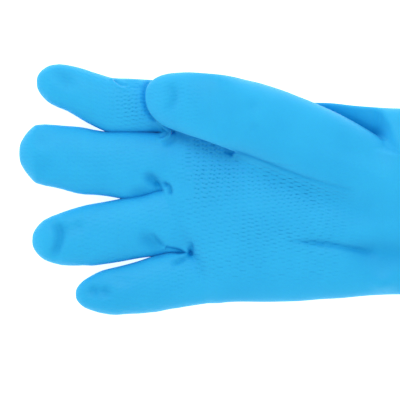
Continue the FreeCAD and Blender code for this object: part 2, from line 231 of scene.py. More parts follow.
# how widely the thumb blends into the hand, on the palm's side and on the outer edge
PALM_BLEND = Curve([-60, -24, -18, -8, 20, 60], [1.2, 2.0, 6.5, 10.0, 12.0, 14.0], 3.0)
EDGE_BLEND = Curve([-60, -22, 0, 20, 50, 57, 62, 70], [1.2, 1.4, 2.0, 1.2, 1.2, 7, 14, 14], 2.0)
FINGER_BLEND = 3.6
FLOOR_BLEND = 2.4  # rounding where the skin lies flat on the floor

# ---- cuts between the skin pieces ------------------------------------------------------------
THUMB_CUT = -30.0
THUMB_FLOOR = Curve([-64, -55, -48, -40, -30, -20], [16.2, 16.3, 16.8, 19.2, 23.0, 25.0], 1.0)
WRIST_START, WRIST_END = 56.0, 89.0


# ---- distance field --------------------------------------------------------------------------
def oval_distance(across, up, half_width, half_height, power, extra):
    """First-order distance to |across/w|^power + |up/h|^power + extra = 1."""
    side, rise = np.abs(across) / half_width, np.abs(up) / half_height
    total = np.maximum(side ** power + rise ** power + extra, 1e-6)
    radius = total ** (1 / power)
    slope_side = side ** (power - 1) / half_width
    slope_rise = rise ** (power - 1) / half_height
    slope = np.sqrt(slope_side * slope_side + slope_rise * slope_rise) * radius ** (1 - power)
    return (radius - 1) / np.maximum(slope, 0.35 / np.maximum(half_width, half_height))


def smooth_min(first, second, width):
    near = np.maximum(width - np.abs(first - second), 0.0) / width
    return np.minimum(first, second) - near * near * width * 0.25


def smooth_max(first, second, width):
    return -smooth_min(-first, -second, width)


def spread(name, x):
    """Sideways shift that parts the fingers while the first mesh is made."""
    def part(distance):
        return 3.4 * (1 - np.exp(-(np.maximum(distance, 0.0) / 12.0) ** 1.6))
    if name == "index":
        return part(-47.0 - x)
    if name == "ring":
        return -part(-51.0 - x)
    if name == "little":
        return -part(-51.0 - x) - part(-37.5 - x)
    return 0.0 * x


def finger_field(name, x, y, z):
    finger = FINGERS[name]
    distance = oval_distance(y - spread(name, x) - finger.center(x), z - FINGER_Z,
                             finger.half(x), finger.height(x), FINGER_POWER,
                             np.maximum(finger.dome_fall(x), 0.0))
    return np.where(x > FINGER_END, 30.0, distance)


def thumb_field(x, y, z):
    top, under = THUMB_TOP(x), THUMB_UNDER(x)
    dome = np.maximum(THUMB_DOME_X - x, 0.0) / THUMB_DOME_LENGTH
    up = z - (top + under) / 2
    # the thumb leans: its upper skin sits a little towards the palm's edge
    across = y - THUMB_CENTER(x) - 0.02 * up
    return oval_distance(across, up, THUMB_HALF(x), (top - under) / 2, 2.3, dome ** 1.7)


def hand_field(x, y, z):
    high, low, top, under = HAND_HIGH(x), HAND_LOW(x), HAND_TOP(x), HAND_UNDER(x)
    length = WEB_LENGTH(y)
    web = np.clip((WEB_END(y) + length - x) / length, 0.0, 3.0)
    distance = oval_distance(y - (high + low) / 2, z - (top + under) / 2, (high - low) / 2,
                             (top - under) / 2, 2.45, web ** 2.0)
    # behind the thumb's root the hand's edge is sunk, so the root stands over it
    edge = THUMB_CENTER(x) + THUMB_HALF(x)
    inside = unit((edge - 2.5 - y) / 7.0)
    ends = ease(unit((x - 51.0) / 18.0) + unit((14.0 - x) / 8.0))
    sunk = (8.8 + 0.30 * np.maximum(y - edge, 0) + 18.0 * inside + 15.0 * ends
            + 0.9 * np.maximum(x - 64.0, 0))
    return smooth_max(distance, (z - sunk) * 0.96, 2.0)


def field(x, y, z):
    hand = hand_field(x, y, z)
    glove = hand
    for name in FINGERS:
        glove = np.minimum(glove, smooth_min(hand, finger_field(name, x, y, z), FINGER_BLEND))
    side = ease(((y - THUMB_CENTER(x)) / THUMB_HALF(x) + 0.3) / 0.8)
    blend = PALM_BLEND(x) * (1 - side) + EDGE_BLEND(x) * side
    return smooth_max(smooth_min(glove, thumb_field(x, y, z), blend), -z, FLOOR_BLEND)


# ---- mesh tools ------------------------------------------------------------------------------
def surface_nets(grid_x, grid_y, grid_z):
    """Quads on the field's zero level, with one vertex in each grid cell it crosses."""
    shape = (len(grid_x), len(grid_y), len(grid_z))
    value = np.empty(shape, np.float32)
    slab = 24  # planes worked out at a time, to save memory
    for start in range(0, len(grid_x), slab):
        part = slice(start, start + slab)
        value[part] = field(*np.meshgrid(grid_x[part], grid_y, grid_z, indexing="ij"))
    inside = value < 0
    size = tuple(count - 1 for count in shape)
    corners = np.array(list(itertools.product((0, 1), repeat=3)))
    inside_count = np.zeros(size, np.int8)
    for i, j, k in corners:
        inside_count += inside[i:i + size[0], j:j + size[1], k:k + size[2]]
    crossed = (inside_count > 0) & (inside_count < 8)
    cells = np.argwhere(crossed)
    index = -np.ones(size, np.int32)
    index[crossed] = np.arange(len(cells))

    # each vertex is the mean of the crossings on its cell's edges
    corner_value = np.stack([value[tuple((cells + corner).T)] for corner in corners], 1)
    total, count = np.zeros((len(cells), 3)), np.zeros(len(cells))
    for i, j in itertools.combinations(range(8), 2):
        if np.abs(corners[i] - corners[j]).sum() != 1:
            continue
        first, second = corner_value[:, i], corner_value[:, j]
        hit = (first < 0) != (second < 0)
        along = np.where(hit, first / np.where(hit, first - second, 1.0), 0.0)
        crossing = corners[i] + (corners[j] - corners[i]) * along[:, None]
        total += crossing * hit[:, None]
        count += hit
    step = np.array([axis[1] - axis[0] for axis in (grid_x, grid_y, grid_z)])
    origin = np.array([grid_x[0], grid_y[0], grid_z[0]])
    vertices = origin + (cells + total / count[:, None]) * step

    # each crossed grid edge joins the four cells around it
    quads = []
    for axis in range(3):
        second, third = (axis + 1) % 3, (axis + 2) % 3
        edges = np.argwhere(np.diff(inside, axis=axis))
        for other in (second, third):
            edges = edges[(edges[:, other] > 0) & (edges[:, other] < shape[other] - 1)]
        around = []
        for back_second, back_third in ((1, 1), (0, 1), (0, 0), (1, 0)):
            cell = edges.copy()
            cell[:, second] -= back_second
            cell[:, third] -= back_third
            around.append(index[tuple(cell.T)])
        quad = np.stack(around, 1)
        outward = inside[tuple(edges.T)]
        quad[~outward] = quad[~outward][:, ::-1]
        quads.append(quad)
    quads = np.concatenate(quads)
    return vertices, quads[(quads >= 0).all(1)]


def gradient(points, step=0.05):
    slopes = []
    for shift in np.eye(3) * step:
        slopes.append(field(*(points + shift).T) - field(*(points - shift).T))
    return np.stack(slopes, 1) / (2 * step)


def project(points, times):
    """Moves the points onto the field's zero level, at most 0.5 mm at a time."""
    for _ in range(times):
        slope = gradient(points)
        steepness = np.maximum((slope * slope).sum(1), 0.05)
        move = -slope * (field(*points.T) / steepness)[:, None]
        length = np.linalg.norm(move, axis=1)
        points = points + move * np.minimum(1.0, 0.5 / np.maximum(length, 1e-9))[:, None]
    return points


def half_edges(triangles):
    return np.concatenate([triangles[:, [0, 1]], triangles[:, [1, 2]], triangles[:, [2, 0]]])


def edge_keys(edges, count):
    """One number for each edge, whichever way it runs."""
    ordered = np.sort(edges, 1)
    return ordered[:, 0].astype(np.int64) * count + ordered[:, 1]


def open_edges(triangles):
    """Directed edges that belong to a single triangle."""
    edges = half_edges(triangles)
    _, first, counts = np.unique(edge_keys(edges, int(triangles.max()) + 1),
                                 return_index=True, return_counts=True)
    return edges[first[counts == 1]]


def relax(points, triangles, fixed, amount):
    """Moves each free vertex towards the mean of its neighbours."""
    edges = np.unique(np.sort(half_edges(triangles), 1), axis=0)
    total, count = np.zeros_like(points), np.zeros(len(points))
    for here, there in ((0, 1), (1, 0)):
        for axis in range(3):
            total[:, axis] += np.bincount(edges[:, here], points[edges[:, there], axis],
                                          len(points))
        count += np.bincount(edges[:, here], minlength=len(points))
    mean = total / np.maximum(count, 1)[:, None]
    moved = points + (mean - points) * amount
    moved[fixed] = points[fixed]
    return moved


def refine(points, triangles, marked):
    """Splits the marked triangles in four, and their neighbours to fit."""
    keys = edge_keys(half_edges(triangles), len(points))
    split = np.unique(keys[np.tile(marked, 3)])
    middles = (points[split // len(points)] + points[split % len(points)]) / 2
    place = np.minimum(np.searchsorted(split, keys), len(split) - 1)
    # middle vertex of each triangle's three edges, or -1
    mids = list(np.where(split[place] == keys, len(points) + place, -1).reshape(3, -1))
    ends = list(triangles.T)
    count = sum((mid >= 0).astype(int) for mid in mids)
    result = [triangles[count == 0]]

    def add(chosen, *faces):
        for face in faces:
            result.append(np.stack([column[chosen] for column in face], 1))

    (end0, end1, end2), (mid0, mid1, mid2) = ends, mids
    add(count == 3, (end0, mid0, mid2), (mid0, end1, mid1), (mid2, mid1, end2),
        (mid0, mid1, mid2))
    for turn in range(3):
        end0, end1, end2 = ends[turn:] + ends[:turn]
        mid0, mid1, mid2 = mids[turn:] + mids[:turn]
        add((count == 1) & (mid0 >= 0), (end0, mid0, end2), (mid0, end1, end2))
        add((count == 2) & (mid0 >= 0) & (mid1 >= 0),
            (mid0, end1, mid1), (end0, mid0, end2), (mid0, mid1, end2))
    return np.concatenate([points, middles]), np.concatenate(result)


def triangle_normals(points, triangles):
    first, second, third = (points[triangles[:, i]] for i in range(3))
    return np.cross(second - first, third - first)


def vertex_normals(points, triangles):
    faces = triangle_normals(points, triangles)
    total = np.zeros_like(points)
    for axis in range(3):
        for corner in range(3):
            total[:, axis] += np.bincount(triangles[:, corner], faces[:, axis], len(points))
    return total / np.maximum(np.linalg.norm(total, axis=1), 1e-12)[:, None]


def nearest_finger(x, y):
    return np.stack([np.abs(y - spread(name, x) - finger.center(x)) / finger.half(x)
                     for name, finger in FINGERS.items()]).argmin(0)


# ---- smooth skin -----------------------------------------------------------------------------
def build_skin():
    """The smooth skin with its fingers parted, finer on the palm side and the thumb."""
    points, quads = surface_nets(np.arange(-127.5, 188.0, GRID), np.arange(-72.0, 75.0, GRID),
                                 np.arange(-1.7, 46.0, GRID))
    triangles = np.concatenate([quads[:, [0, 1, 2]], quads[:, [0, 2, 3]]])
    border = np.zeros(len(points), bool)
    border[open_edges(triangles).ravel()] = True
    points = project(points, 2)
    for _ in range(2):
        points = project(relax(points, triangles, border, 0.6), 1)
    points = project(points, 2)
    # take away what lies past the mouth
    triangles = triangles[(points[triangles, 0] < MOUTH + 0.4).all(1)]

    x, _, z = points[triangles].mean(1).T
    normal = triangle_normals(points, triangles)
    up = normal[:, 2] / np.linalg.norm(normal, axis=1)
    thumb_side = (z > 17.5) & (x < 0) & (up > -0.5)
    points, triangles = refine(points, triangles, (x < 74) & ((up > -0.05) | thumb_side))
    points = project(points, 2)
    used = np.unique(triangles)
    place = -np.ones(len(points), np.int64)
    place[used] = np.arange(len(used))
    return points[used], place[triangles]


def label_parts(points, triangles):
    """The skin piece each triangle belongs to, while the fingers are parted."""
    x, y, z = points[triangles].mean(1).T
    nearest = nearest_finger(x, y)
    thumb = (x < THUMB_CUT) & (z > THUMB_FLOOR(x))
    label = np.full(len(triangles), "hand", dtype=object)
    label[x > WRIST_START] = "wrist"
    label[x > WRIST_END] = "cuff"
    for i, (name, finger) in enumerate(FINGERS.items()):
        for part, cut in zip(("base", "mid", "tip"), finger.cuts):
            label[(nearest == i) & ~thumb & (x < cut)] = f"{name}_{part}"
    label[thumb] = "thumb_tip"
    return label


points, triangles = build_skin()
labels = label_parts(points, triangles)
normals = gradient(points)
normals /= np.maximum(np.linalg.norm(normals, axis=1), 1e-9)[:, None]

# bring the fingers back together
x, y, z = points.T
thumb_part = (x < -16) & (z > THUMB_FLOOR(x))
finger_index = nearest_finger(x, y)
for i, name in enumerate(FINGERS):
    chosen = (finger_index == i) & ~thumb_part
    points[chosen, 1] -= spread(name, points[chosen, 0])

# ---- relief ----------------------------------------------------------------------------------
x, y, z = points.T
on_thumb = (thumb_field(x, y, z) < 0.6) & (z > 17.5) & (z > HAND_TOP(x) - 1.5)
facing_up = normals[:, 2] > -0.2
palm = ~on_thumb & facing_up
thumb_top = on_thumb & (normals[:, 2] > 0.0)
relief = np.zeros(len(points))  # height along the normal
painted_shade = np.zeros(len(points))  # painted shade: how deep blue the colour is made where shade falls in folds, grooves and hollows


def waves(seed, count, wavelength, height):
    """Sum of plane waves in random directions."""
    random = np.random.default_rng(seed)
    total = np.zeros(len(points))
    for _ in range(count):
        wave = random.normal(size=3)
        wave *= (2 * math.pi / (wavelength * random.uniform(0.7, 1.5)) / np.linalg.norm(wave))
        total += np.sin(points @ wave + random.uniform(0, 6.28)) * random.uniform(0.5, 1.0)
    return total * height / math.sqrt(count)


def line_distance(line, x, y):
    """Distance to a polyline, and the share of its length at the nearest place."""
    best = np.full(len(x), 1e9)
    along = np.zeros(len(x))
    lengths = np.linalg.norm(np.diff(line, axis=0), axis=1)
    run = 0.0
    for start, end, length in zip(line[:-1], line[1:], lengths):
        step_x, step_y = end - start
        share = unit(((x - start[0]) * step_x + (y - start[1]) * step_y) / (length * length))
        distance = np.hypot(x - start[0] - share * step_x, y - start[1] - share * step_y)
        nearer = distance < best
        best = np.where(nearer, distance, best)
        along = np.where(nearer, (run + share * length) / lengths.sum(), along)
        run += length
    return best, along


def smooth_line(stations, count):
    """Catmull-Rom curve through three or more points; two points stay as they are."""
    stations = np.asarray(stations, float)
    if len(stations) < 3:
        return stations
    last = len(stations) - 1
    run = np.concatenate([[0], np.cumsum(np.linalg.norm(np.diff(stations, axis=0), axis=1))])
    line = []
    for place in np.linspace(0, run[-1], count):
        i = min(max(np.searchsorted(run, place) - 1, 0), last - 1)
        before, start, end, after = (stations[min(max(i + k, 0), last)] for k in (-1, 0, 1, 2))
        t = (place - run[i]) / (run[i + 1] - run[i])
        line.append(0.5 * (2 * start + (end - before) * t
                           + (2 * before - 5 * start + 4 * end - after) * t * t
                           + (3 * start - before - 3 * end + after) * t ** 3))
    return np.array(line)


def near_line(line, reach, where):
    low, high = line.min(0) - reach, line.max(0) + reach
    return where & (x > low[0]) & (x < high[0]) & (y > low[1]) & (y < high[1])


def fold(stations, height, width, fade, shade=(0.0, 0.0), where=palm, shade_width=1.0):
    """A groove (negative) or ridge (positive) along a line seen from above, with painted shade
    along it. Height, width and shade are given at its start and end; fade is the share of its
    length that each end takes."""
    line = smooth_line(stations, 40)
    chosen = near_line(line, 4.2 * max(width), where)
    if not chosen.any():
        return
    distance, along = line_distance(line, x[chosen], y[chosen])
    rise, sigma, painted_shade_amount = (pair[0] + (pair[1] - pair[0]) * along for pair in (height, width, shade))
    ends = unit(along / fade) * unit((1 - along) / fade) if fade > 0 else 1.0
    side = unit(normals[chosen, 2] / np.where(rise < 0, 0.55, 0.3))
    relief[chosen] += rise * ends * side * np.exp(-0.5 * (distance / sigma) ** 2)
    painted_shade[chosen] += painted_shade_amount * ends * np.exp(-0.5 * (distance / (sigma * shade_width)) ** 2)


def dent(stations, height, sigma, shade=0.0, where=palm):
    """A soft hollow (negative) or swelling (positive) along a line, without a sharp groove, with
    painted shade spread over it.
    """
    line = smooth_line(stations, 24)
    chosen = near_line(line, 3.6 * sigma, where)
    if not chosen.any():
        return

    def total(to_x, to_y):
        return sum(np.exp(-0.5 * ((to_x - at_x) ** 2 + (to_y - at_y) ** 2) / sigma ** 2)
                   for at_x, at_y in line)
    part = total(x[chosen], y[chosen]) / total(line[:, 0], line[:, 1]).max()
    relief[chosen] += height * part * unit(normals[chosen, 2] / 0.55)
    painted_shade[chosen] += shade * part


# (x, y) points of each line, height, sigma and painted shade
DENTS = [
    # between index and middle
    ([(-52, 34), (-48.75, 33)], 2.6, 1.9, 0),
    ([(-60, 35.75), (-56, 35.25), (-53, 35)], -0.2, 1.3, 0.30),
    # between middle and ring
    ([(-61, 12), (-58.5, 9.5), (-56, 7)], -2.8, 1.9, 0.5),
    ([(-56.5, 7.2), (-55.25, 6.4)], -0.7, 0.9, 0.55),
    ([(-69.5, 3.5), (-66, 4), (-61, 5.5)], -0.5, 2.0, 0.30),
    # between ring and little
    ([(-63, -19), (-59.5, -22), (-56, -25.5)], -2.4, 2.6, 0.42),
    ([(-42.5, -26.5), (-41.25, -26.7)], 1.6, 1.5, 0),
    # the palm beside the thumb's root
    ([(-1, 12), (15, 5), (35, -1.5), (51, -7)], -0.9, 5.0, 0.10),
    ([(-22, 18.5), (-10, 16), (2.5, 11), (17.5, 5.5)], 0.0, 3.2, 0.10),
    # the palm's heel
    ([(21, -21), (30, -22.25), (41, -24.25), (51, -26)], -1.2, 2.6, 0.12),
    ([(44, -27.5), (54, -27), (64, -27.5), (73, -28)], -3.2, 5.4, 0.38),
    ([(55, -41.5), (60, -40.5)], 2.0, 3.0, 0),
    # ring, index, little and middle finger
    ([(-107, -12), (-105.25, -15.5), (-105.1, -20), (-106.5, -24), (-108, -27)], -2.3, 1.9, 0.38),
    ([(-102, -14.5), (-96, -13)], -0.9, 2.4, 0.18),
    ([(-106.5, 64.5), (-103.5, 61.5), (-99.5, 58)], -1.6, 3.0, 0.26),
    ([(-88.5, -45.5), (-82.5, -46)], -1.9, 2.3, 0.30),
    ([(-87, -40.5), (-79, -40), (-71, -40.5)], -0.7, 2.2, 0),
    ([(-114, 31), (-112.5, 16)], -0.9, 3.2, 0.10),
]
THUMB_DENTS = [
    ([(-49.5, 57), (-47.75, 53.5), (-48.25, 49), (-51, 45.5)], -1.1, 2.1, 0.30),
    ([(-8.5, 47), (-7.5, 36)], -0.5, 2.2, 0.10),
]
# (x, y) points of each line, height, width, fade and painted shade
FOLDS = [
    # between index and middle: the web stands up as a thin curl about the end of their contact
    ([(-57, 39.75), (-53.5, 37.25), (-50.9, 35.9), (-49.4, 34), (-49.9, 31.8), (-52.75, 30.4),
      (-56.5, 29.5)], (0.9, 1.6), (0.55, 0.7), 0.14, (0, 0)),
    ([(-48.2, 35.25), (-47.3, 33.25), (-47.6, 30.75), (-49.75, 28.75), (-54, 27.5)],
     (-0.5, -0.3), (0.75, 1.1), 0.2, (0.55, 0.2)),
    ([(-55, 35.6), (-51.8, 34.8), (-51, 33.3), (-51.9, 31.8), (-55.5, 30.8)],
     (-0.5, -0.3), (0.55, 0.8), 0.15, (0.55, 0.15)),
    ([(-46.5, 33), (-43, 31.5), (-39, 30)], (-0.3, -0.2), (1.3, 1.3), 0.2, (0.6, 0.2)),
    # between middle and ring
    ([(-54.25, 7.7), (-51.75, 7.6), (-50.2, 5.8), (-49.9, 2)],
     (-1.5, -1.1), (0.75, 0.9), 0.2, (0.5, 0.65)),
    ([(-55.25, 5.7), (-53.25, 6.3), (-51.8, 4.7), (-51.6, 1)],
     (0.55, 0.2), (0.7, 1.2), 0.2, (0, 0)),
    # between ring and little: a soft fold, then a tight line and its hook
    ([(-60.5, -16), (-58, -18.5), (-55.2, -21.75), (-52.5, -24.7)],
     (-0.5, -1.0), (0.9, 0.8), 0.25, (0.15, 0.5)),
    ([(-52.5, -24.3), (-49.5, -24.8), (-46, -25.5), (-41.3, -26.6)],
     (-0.9, -0.9), (0.75, 0.6), 0.06, (0.45, 0.6)),
    ([(-39.8, -20), (-39.5, -24.25), (-40.4, -27.3), (-44.5, -29.9), (-50, -32.5)],
     (-1.1, -0.7), (0.75, 1.3), 0.2, (0.6, 0.5)),
    ([(-41.6, -26.5), (-40.8, -26.7), (-41.5, -27.6)], (0.6, 0.5), (0.6, 0.7), 0.0, (0, 0)),
    # the thumb's root crease
    ([(-22, 24), (-19.25, 23.2)], (-0.3, -0.5), (0.8, 0.8), 0.0, (0.5, 0.9)),
    ([(-18.25, 23.75), (-18.2, 21.75), (-21, 20.4)], (0.7, 0.4), (0.7, 0.8), 0.15, (0, 0)),
    # the long wrinkle of the palm
    ([(6.5, -20.75), (19, -21.2), (29, -22.3), (38.5, -24.1), (47, -26.1), (54, -28.25)],
     (-0.9, -1.1), (0.8, 1.1), 0.25, (0.25, 0.3)),
    # the kink on the index finger's side
    ([(-80.25, 61.2), (-77.75, 58.5), (-74.5, 56.3), (-71.5, 55.5)],
     (0.8, 0.5), (0.62, 0.8), 0.12, (0, 0)),
    ([(-78.25, 60.5), (-75.25, 58.2), (-71, 57.2)], (-1.0, -0.6), (0.7, 0.8), 0.12, (0.3, 0.15)),
]

# the skin is never quite even
relief += waves(3, 9, wavelength=42.0, height=0.34) * unit((z - 1.0) / 3.0)
relief += waves(5, 9, wavelength=17.0, height=0.13) * unit((z - 1.0) / 3.0)
relief += (waves(8, 8, wavelength=60.0, height=1.1) * unit((x - 85) / 60.0)
           * unit((z - 1.0) / 4.0))
for row in DENTS:
    dent(*row)
for row in THUMB_DENTS:
    dent(*row, where=thumb_top)
for row in FOLDS:
    fold(*row)
# the index finger is pressed in beside the thumb's tip, with the tip's shadow painted along the
# groove
fold([(-59, 61.5), (-61.7, 57.5), (-62.4, 52.5), (-61.6, 46.5), (-59, 41.7), (-55.5, 38.7)],
     height=(-1.6, -1.0), width=(1.25, 0.9), fade=0.12, shade=(0.55, 0.22), shade_width=1.05)
# the fold behind the thumb's root, which runs over both thumb and palm, with painted shade in it
fold([(-19.5, 24.5), (-12.5, 22.25), (-4, 19.1), (7, 14.4), (22, 9.5), (33, 6.7), (43, 4)],
     height=(-0.5, -0.2), width=(0.5, 0.8), fade=0.06, shade=(0.7, 0.1), where=facing_up)
# four fine wrinkles beside the kink
for k in range(4):
    fold([(-74 + 0.75 * k, 59.8 - 1.1 * k), (-70 + k, 59.4 - 1.05 * k),
          (-64.5 + 0.5 * k, 59.6 - 1.15 * k)],
         height=(-0.38, -0.38), width=(0.45, 0.45), fade=0.2, shade=(0.05, 0.22))


def shade_hollows():
    """Painted shade beside the thumb: behind its root, and on the palm under its tip, where the
    thumb shades the skin.
    """
    center, half = THUMB_CENTER(x), THUMB_HALF(x)
    over = y - center - half
    strip = np.exp(-(np.maximum(0.89 * over - 1.5, 0) / 3.6) ** 2) * unit((x - 14) / 12)
    low = z < 0.5 * (THUMB_TOP(x) + THUMB_UNDER(x)) + 4.0
    behind = np.where(~on_thumb & (over > -3.0) & low, 0.31 * strip * ease((62.5 - x) / 9.0), 0.0)
    under = center - half - y
    near_tip = unit((-17.5 - x) / 2.0) * unit((x + 58.0) / 8.0)
    below = np.where(~on_thumb & (under > -12.0) & (normals[:, 2] > 0.1),
                     0.2 * np.exp(-np.maximum(under, 0) / 5.5) * near_tip, 0.0)
    return behind + below


painted_shade += shade_hollows()

# ---- grip: staggered scales, long in the fingers' direction ----------------------------------
PITCH_X, PITCH_Y = 3.87, 2.09
FINGER_GRIP = 0.36  # strength on the fingers; the palm's is 1


def scales(across_x, across_y):
    column = np.floor(across_x / PITCH_X)
    share_x = across_x / PITCH_X - column - 0.5
    share_y = across_y / PITCH_Y + 0.5 * np.mod(column, 2)
    share_y = share_y - np.floor(share_y) - 0.5
    # each scale stands highest at its lower side and slopes back to the next
    body = ease((share_y + 0.5) / 0.2) * (1.0 - 0.62 * unit((share_y + 0.3) / 0.8))
    return 0.5 + (body - 0.5) * ease((0.5 - np.abs(share_x)) / 0.16)


def grip_layout():
    """The strength of the grip, and the y its rows are counted in."""
    row_y = y.copy()
    grip = np.zeros(len(points))
    for i, (name, finger) in enumerate(FINGERS.items()):
        chosen = (finger_index == i) & (x < -38) & ~on_thumb
        near_x, near_y = x[chosen], y[chosen]
        across = np.abs(near_y - finger.center(near_x)) / finger.half(near_x)
        bend = finger.center(near_x) - finger.center(-52.0)
        row_y[chosen] = near_y - unit((-38 - near_x) / 14.0) * bend
        grip[chosen] = unit((0.93 - across) / 0.3) * FINGER_GRIP
        if name == "index":
            # the grip is crisper beside the thumb's tip
            grip[chosen] += 1.5 * np.exp(-((near_x + 66.0) ** 2 + (near_y - 47.0) ** 2) / 90.0)
    grip[(x >= -38) & ~on_thumb] = 1.0
    to_palm = ease((x + 56.0) / 24.0)
    of_fingers = np.maximum(grip, FINGER_GRIP) * (1 - to_palm) * (x < -32)
    of_palm = np.where(x < -32, to_palm, 1.0) * np.where(x < -38, unit(grip / FINGER_GRIP), 1.0)
    grip = np.where(~on_thumb, of_fingers + of_palm, grip)
    # weaker towards the little finger's side, the hand's edges and the wrist
    grip *= 1.0 - 0.55 * unit((-28.0 - y) / 16.0) * (x > -44)
    edge = np.minimum(HAND_HIGH(x) - y, y - HAND_LOW(x))
    grip *= np.where(x > -44, unit((edge - 4.0) / 8.0), 1.0)
    grip *= unit((50.0 - x) / 22.0)
    grip *= 0.85 + 0.7 * unit((y + 12.0) / 34.0) * (x > -44)
    # nearly smooth where the thumb joins
    grip *= np.where(x > -24, unit((thumb_field(x, y, z) - 0.6) / 3.6), 1.0)
    grip[on_thumb] = 0.0
    chosen = on_thumb & (x < -30)
    near_x = x[chosen]
    across = np.abs(y[chosen] - THUMB_CENTER(near_x)) / THUMB_HALF(near_x)
    grip[chosen] = 0.45 * unit((-30 - near_x) / 8.0) * unit((0.85 - across) / 0.3)
    grip *= np.clip(0.78 + waves(11, 8, wavelength=26.0, height=0.35), 0.35, 1.0)
    return grip, row_y


grip, row_y = grip_layout()
# the rows slant along x, more so on the thumb's side
tilt = 0.05 + 0.20 * ease((y + 38.0) / 62.0)
row_y = row_y + (x + 10.0) * tilt * np.clip((x + 70.0) / 30.0, 0.55, 1)
pattern = scales(x, row_y)
grip *= ease((normals[:, 2] - 0.15) / 0.35)
smooth_points = points + normals * relief[:, None]
relief += 0.50 * grip * (pattern - 0.5)
# painted shade on the low side of each scale, where shade falls between the rows
painted_shade += 0.42 * grip * unit(1.0 - 2.2 * pattern)
painted_shade = unit(painted_shade)

points = points + normals * relief[:, None]
points[:, 2] = np.maximum(points[:, 2], 0.0)
shading_normals = vertex_normals(points, triangles)


# ---- materials -------------------------------------------------------------------------------
def new_material(name):
    material = bpy.data.materials.new(name)
    material.use_nodes = True
    return material, material.node_tree, material.node_tree.nodes["Principled BSDF"]


def set_socket(tree, socket, source):
    """Links a socket, or gives it a plain value."""
    if isinstance(source, bpy.types.NodeSocket):
        tree.links.new(source, socket)
    else:
        socket.default_value = source


def set_inputs(tree, node, **inputs):
    for name, source in inputs.items():
        set_socket(tree, node.inputs[name.replace("_", " ")], source)


def add_node(tree, kind, **inputs):
    node = tree.nodes.new("ShaderNode" + kind)
    set_inputs(tree, node, **inputs)
    return node


def mix_colors(tree, factor, first, second, blend_type="MIX"):
    node = tree.nodes.new("ShaderNodeMix")
    node.data_type = "RGBA"
    node.blend_type = blend_type
    set_inputs(tree, node, Factor=factor)
    # inputs 6 and 7 are the two colours
    set_socket(tree, node.inputs[6], first)
    set_socket(tree, node.inputs[7], second)
    return node.outputs[2]


def add_math(tree, operation, first, second, clamp=False):
    node = tree.nodes.new("ShaderNodeMath")
    node.operation = operation
    node.use_clamp = clamp
    set_socket(tree, node.inputs[0], first)
    set_socket(tree, node.inputs[1], second)
    return node.outputs[0]


def color_ramp(tree, factor, *stops):
    node = add_node(tree, "ValToRGB", Fac=factor)
    for element, (position, color) in zip(node.color_ramp.elements, stops):
        element.position = position
        element.color = color
    return node.outputs["Color"]


def rubber_material(name, tint=1.0):
    material, tree, shader = new_material(name)
    place = add_node(tree, "TexCoord").outputs["Object"]
    cloud = add_node(tree, "TexNoise", Vector=place, Scale=38.0, Detail=4.0,
                     Roughness=0.55).outputs["Fac"]
    base = color_ramp(tree, cloud, (0.30, (0.010 * tint, 0.450 * tint, 0.875 * tint, 1)),
                      (0.72, (0.016 * tint, 0.495 * tint, 0.925 * tint, 1)))
    fine = add_node(tree, "TexNoise", Vector=place, Scale=900.0, Detail=3.0, Roughness=0.6)
    speckled = mix_colors(tree, 0.10, base, fine.outputs["Color"], "MULTIPLY")
    # painted rim light: lighter where the skin turns away
    facing = add_node(tree, "LayerWeight", Blend=0.28).outputs["Facing"]
    rim = mix_colors(tree, add_math(tree, "MULTIPLY", facing, 0.5), speckled,
                     (0.10, 0.55, 0.88, 1))
    # painted shade: the colour goes deep blue where the occlusion node finds skin close by, and
    # where shade is painted into the mesh attribute
    occlusion = add_node(tree, "AmbientOcclusion", Distance=0.005)
    occlusion.samples = 8
    occlusion_shade = add_node(tree, "MapRange", Value=occlusion.outputs["AO"], From_Min=0.35,
                    From_Max=0.95, To_Min=0.6, To_Max=0.0)
    shade_attribute = tree.nodes.new("ShaderNodeAttribute")
    shade_attribute.attribute_name = "painted_shade"
    painted_shade_amount = add_math(tree, "ADD", occlusion_shade.outputs["Result"], shade_attribute.outputs["Fac"], clamp=True)
    # the deep blue of the painted shade
    color = mix_colors(tree, painted_shade_amount, rim, (0.0, 0.265, 0.635, 1))
    rough = add_node(tree, "MapRange", Value=cloud, To_Min=0.46, To_Max=0.60)
    grain = add_node(tree, "TexNoise", Vector=place, Scale=2600.0, Detail=2.0, Roughness=0.5)
    pores = add_node(tree, "TexVoronoi", Vector=place, Scale=1100.0)
    height = add_math(tree, "ADD", grain.outputs["Fac"], pores.outputs["Distance"])
    bump = add_node(tree, "Bump", Strength=0.25, Distance=0.00012, Height=height)
    # the highlight is turned down where shade is painted
    shine = add_node(tree, "MapRange", Value=painted_shade_amount, To_Min=0.30, To_Max=0.08)
    set_inputs(tree, shader, Base_Color=color, Roughness=rough.outputs["Result"],
               Normal=bump.outputs["Normal"], Specular_IOR_Level=shine.outputs["Result"],
               Subsurface_Weight=0.10, Subsurface_Radius=(0.2, 0.8, 1.0),
               Subsurface_Scale=0.0012, Sheen_Weight=0.05, Sheen_Roughness=0.5,
               Sheen_Tint=(0.6, 0.85, 1.0, 1))
    return material


def flock_material(name):
    material, tree, shader = new_material(name)
    place = add_node(tree, "TexCoord").outputs["Object"]
    fibre = add_node(tree, "TexNoise", Vector=place, Scale=1500.0, Detail=5.0,
                     Roughness=0.75).outputs["Fac"]
    patch = add_node(tree, "TexNoise", Vector=place, Scale=60.0, Detail=3.0)
    base = color_ramp(tree, fibre, (0.33, (0.34, 0.60, 0.80, 1)), (0.68, (0.70, 0.86, 0.95, 1)))
    color = mix_colors(tree, 0.25, base, patch.outputs["Color"], "MULTIPLY")
    bump = add_node(tree, "Bump", Strength=0.8, Distance=0.0003, Height=fibre)
    set_inputs(tree, shader, Base_Color=color, Roughness=0.95, Sheen_Weight=0.6,
               Sheen_Roughness=0.4, Normal=bump.outputs["Normal"])
    return material


RUBBER = rubber_material("blue_rubber_skin")
FLOCK = flock_material("cotton_flock")


